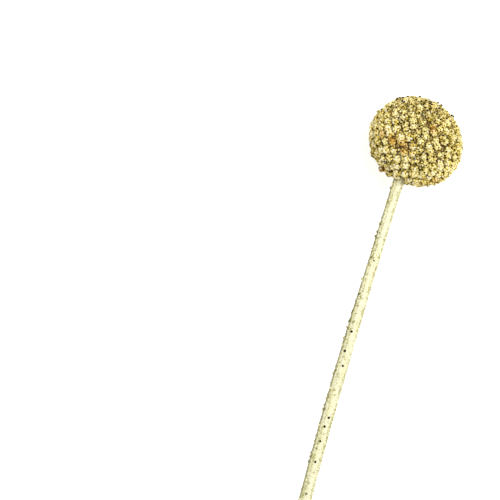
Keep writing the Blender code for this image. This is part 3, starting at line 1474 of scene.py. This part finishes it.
@dataclass
class PictureView:
    """The camera: it looks straight down at the stem, turned so that it leans as in the picture."""

    line: StemLine
    picture: float = 500.0
    metres_per_pixel: float = 0.30 * MM
    head_pixel: Pixel = (415.4, 142.4)
    turn: float = math.radians(14.65)
    distance: float = 0.9
    seen_run: float = 0.112
    # Places in the picture: pinholes with a radius, mouths, bundles with a depth, brown ones with a reach
    speck_pixels: tuple[Triple, ...] = (
        (371.2, 257.2, 0.24 * MM), (373.9, 260.6, 0.24 * MM), (359.3, 293.6, 0.42 * MM),
        (351.6, 331.5, 0.38 * MM), (344.9, 351.1, 0.38 * MM), (342.9, 365.9, 0.35 * MM),
        (328.9, 417.9, 0.38 * MM), (324.7, 426.6, 0.38 * MM), (320.2, 441.4, 0.34 * MM),
        (315.4, 462.2, 0.36 * MM),
    )
    hollow_pixels: tuple[Pixel, ...] = (
        (399, 98), (402, 98), (407, 97), (419, 97), (420, 103), (428, 103), (437.5, 103), (430, 106),
        (377, 111), (381, 110), (387, 111), (395, 109), (402.5, 117), (420, 118), (444.5, 120), (402, 124.5),
        (399, 125.5), (417, 115), (405.5, 133), (419, 136.5), (440, 137), (455, 127), (413.5, 165),
        (383.5, 162), (443.5, 153), (423, 109.5), (412, 160),
    )
    proud_pixels: tuple[Triple, ...] = (
        (379.0, 171.0, 1.45 * MM), (386.0, 176.5, 1.80 * MM), (366.0, 156.0, 1.75 * MM),
    )
    browned_pixels: tuple[Triple, ...] = (
        (378.5, 134, 2.3 * MM), (390, 142, 3.0 * MM), (400, 149, 3.2 * MM), (431, 131, 2.2 * MM),
        (382, 169, 2.6 * MM), (437, 182, 2.2 * MM),
    )

    @property
    def up(self) -> Vector:
        """The direction in the world that is up in the picture."""
        return Vector((math.cos(self.turn), math.sin(self.turn), 0))

    @property
    def right(self) -> Vector:
        """The direction in the world that is right in the picture."""
        return Vector((math.sin(self.turn), -math.cos(self.turn), 0))

    def plane_point(self, x: float, y: float) -> Vector:
        """Returns the point at the head's height that a pixel of the picture shows."""
        from_head = self.right * (x - self.head_pixel[0]) - self.up * (y - self.head_pixel[1])
        return self.line.head_centre + from_head * self.metres_per_pixel

    def place(self) -> None:
        """Makes the camera."""
        data = bpy.data.cameras.new("camera")
        data.sensor_width = 36
        data.lens = data.sensor_width * self.distance / (self.picture * self.metres_per_pixel)
        data.clip_end = 20
        camera = new_object("camera", data)
        turned = Matrix((self.right, self.up, UP)).transposed().to_4x4()
        middle = self.plane_point(self.picture / 2, self.picture / 2)
        camera.matrix_world = Matrix.Translation(middle + UP * self.distance) @ turned
        bpy.context.scene.camera = camera


@dataclass(frozen=True)
class Lamp:
    """A soft square light: which way it lies from the head, its power in watts, its side and its distance."""

    name: str
    right: float
    up: float
    above: float
    power: float
    size: float
    away: float


@dataclass
class Studio:
    """A white floor under plain soft light, with a key lamp from the right and a weak fill from the left."""

    view: PictureView
    floor_size: float = 6.0
    floor_colour: Colour = (0.93, 0.93, 0.92)
    floor_roughness: float = 0.9
    floor_glow: float = 0.60
    sky: float = 0.42
    lamps: tuple[Lamp, ...] = (
        Lamp("key", 0.36, 0.20, 1.0, 7.1, 0.40, 0.9),
        Lamp("fill", -0.7, -0.2, 1.2, 1.5, 1.0, 1.2),
    )

    def floor(self) -> None:
        """Lays the pale floor."""
        bm = bmesh.new()
        bmesh.ops.create_grid(bm, x_segments=1, y_segments=1, size=self.floor_size / 2)
        paint = PaintChain("floor_paint").finish(
            Base_Color=self.floor_colour,
            Roughness=self.floor_roughness,
            Emission_Color=(1.0, 1.0, 1.0),
            Emission_Strength=self.floor_glow,
        )
        as_piece(bm, "floor", paint)

    def hang(self, lamp: Lamp) -> None:
        """Adds a light.

        Args:
            lamp: its sizes.
        """
        data = bpy.data.lights.new(lamp.name, "AREA")
        data.energy = lamp.power
        data.size = lamp.size
        towards = self.view.right * lamp.right + self.view.up * lamp.up + UP * lamp.above
        made = new_object(lamp.name, data)
        made.location = self.view.line.head_centre + towards.normalized() * lamp.away
        made.rotation_mode = "QUATERNION"
        made.rotation_quaternion = towards.to_track_quat("Z", "Y")

    def light(self) -> None:
        """Sets the sky and the lamps."""
        world = bpy.data.worlds.new("sky")
        world.use_nodes = True
        background = world.node_tree.nodes["Background"]
        background.inputs["Color"].default_value = (1, 1, 1, 1)
        background.inputs["Strength"].default_value = self.sky
        bpy.context.scene.world = world
        bpy.context.scene.view_settings.view_transform = "Standard"
        for lamp in self.lamps:
            self.hang(lamp)

    def dress(self) -> None:
        """Builds the floor and the light."""
        self.floor()
        self.light()


def main() -> None:
    """Builds the pieces in order."""
    logging.basicConfig(level=logging.INFO, format="%(name)s %(message)s")
    line = StemLine()
    view = PictureView(line)
    view.place()
    FlowerHead(line).dress(view)
    Stalk(line).dress(view)
    Studio(view).dress()


if __name__ == "__main__":
    main()
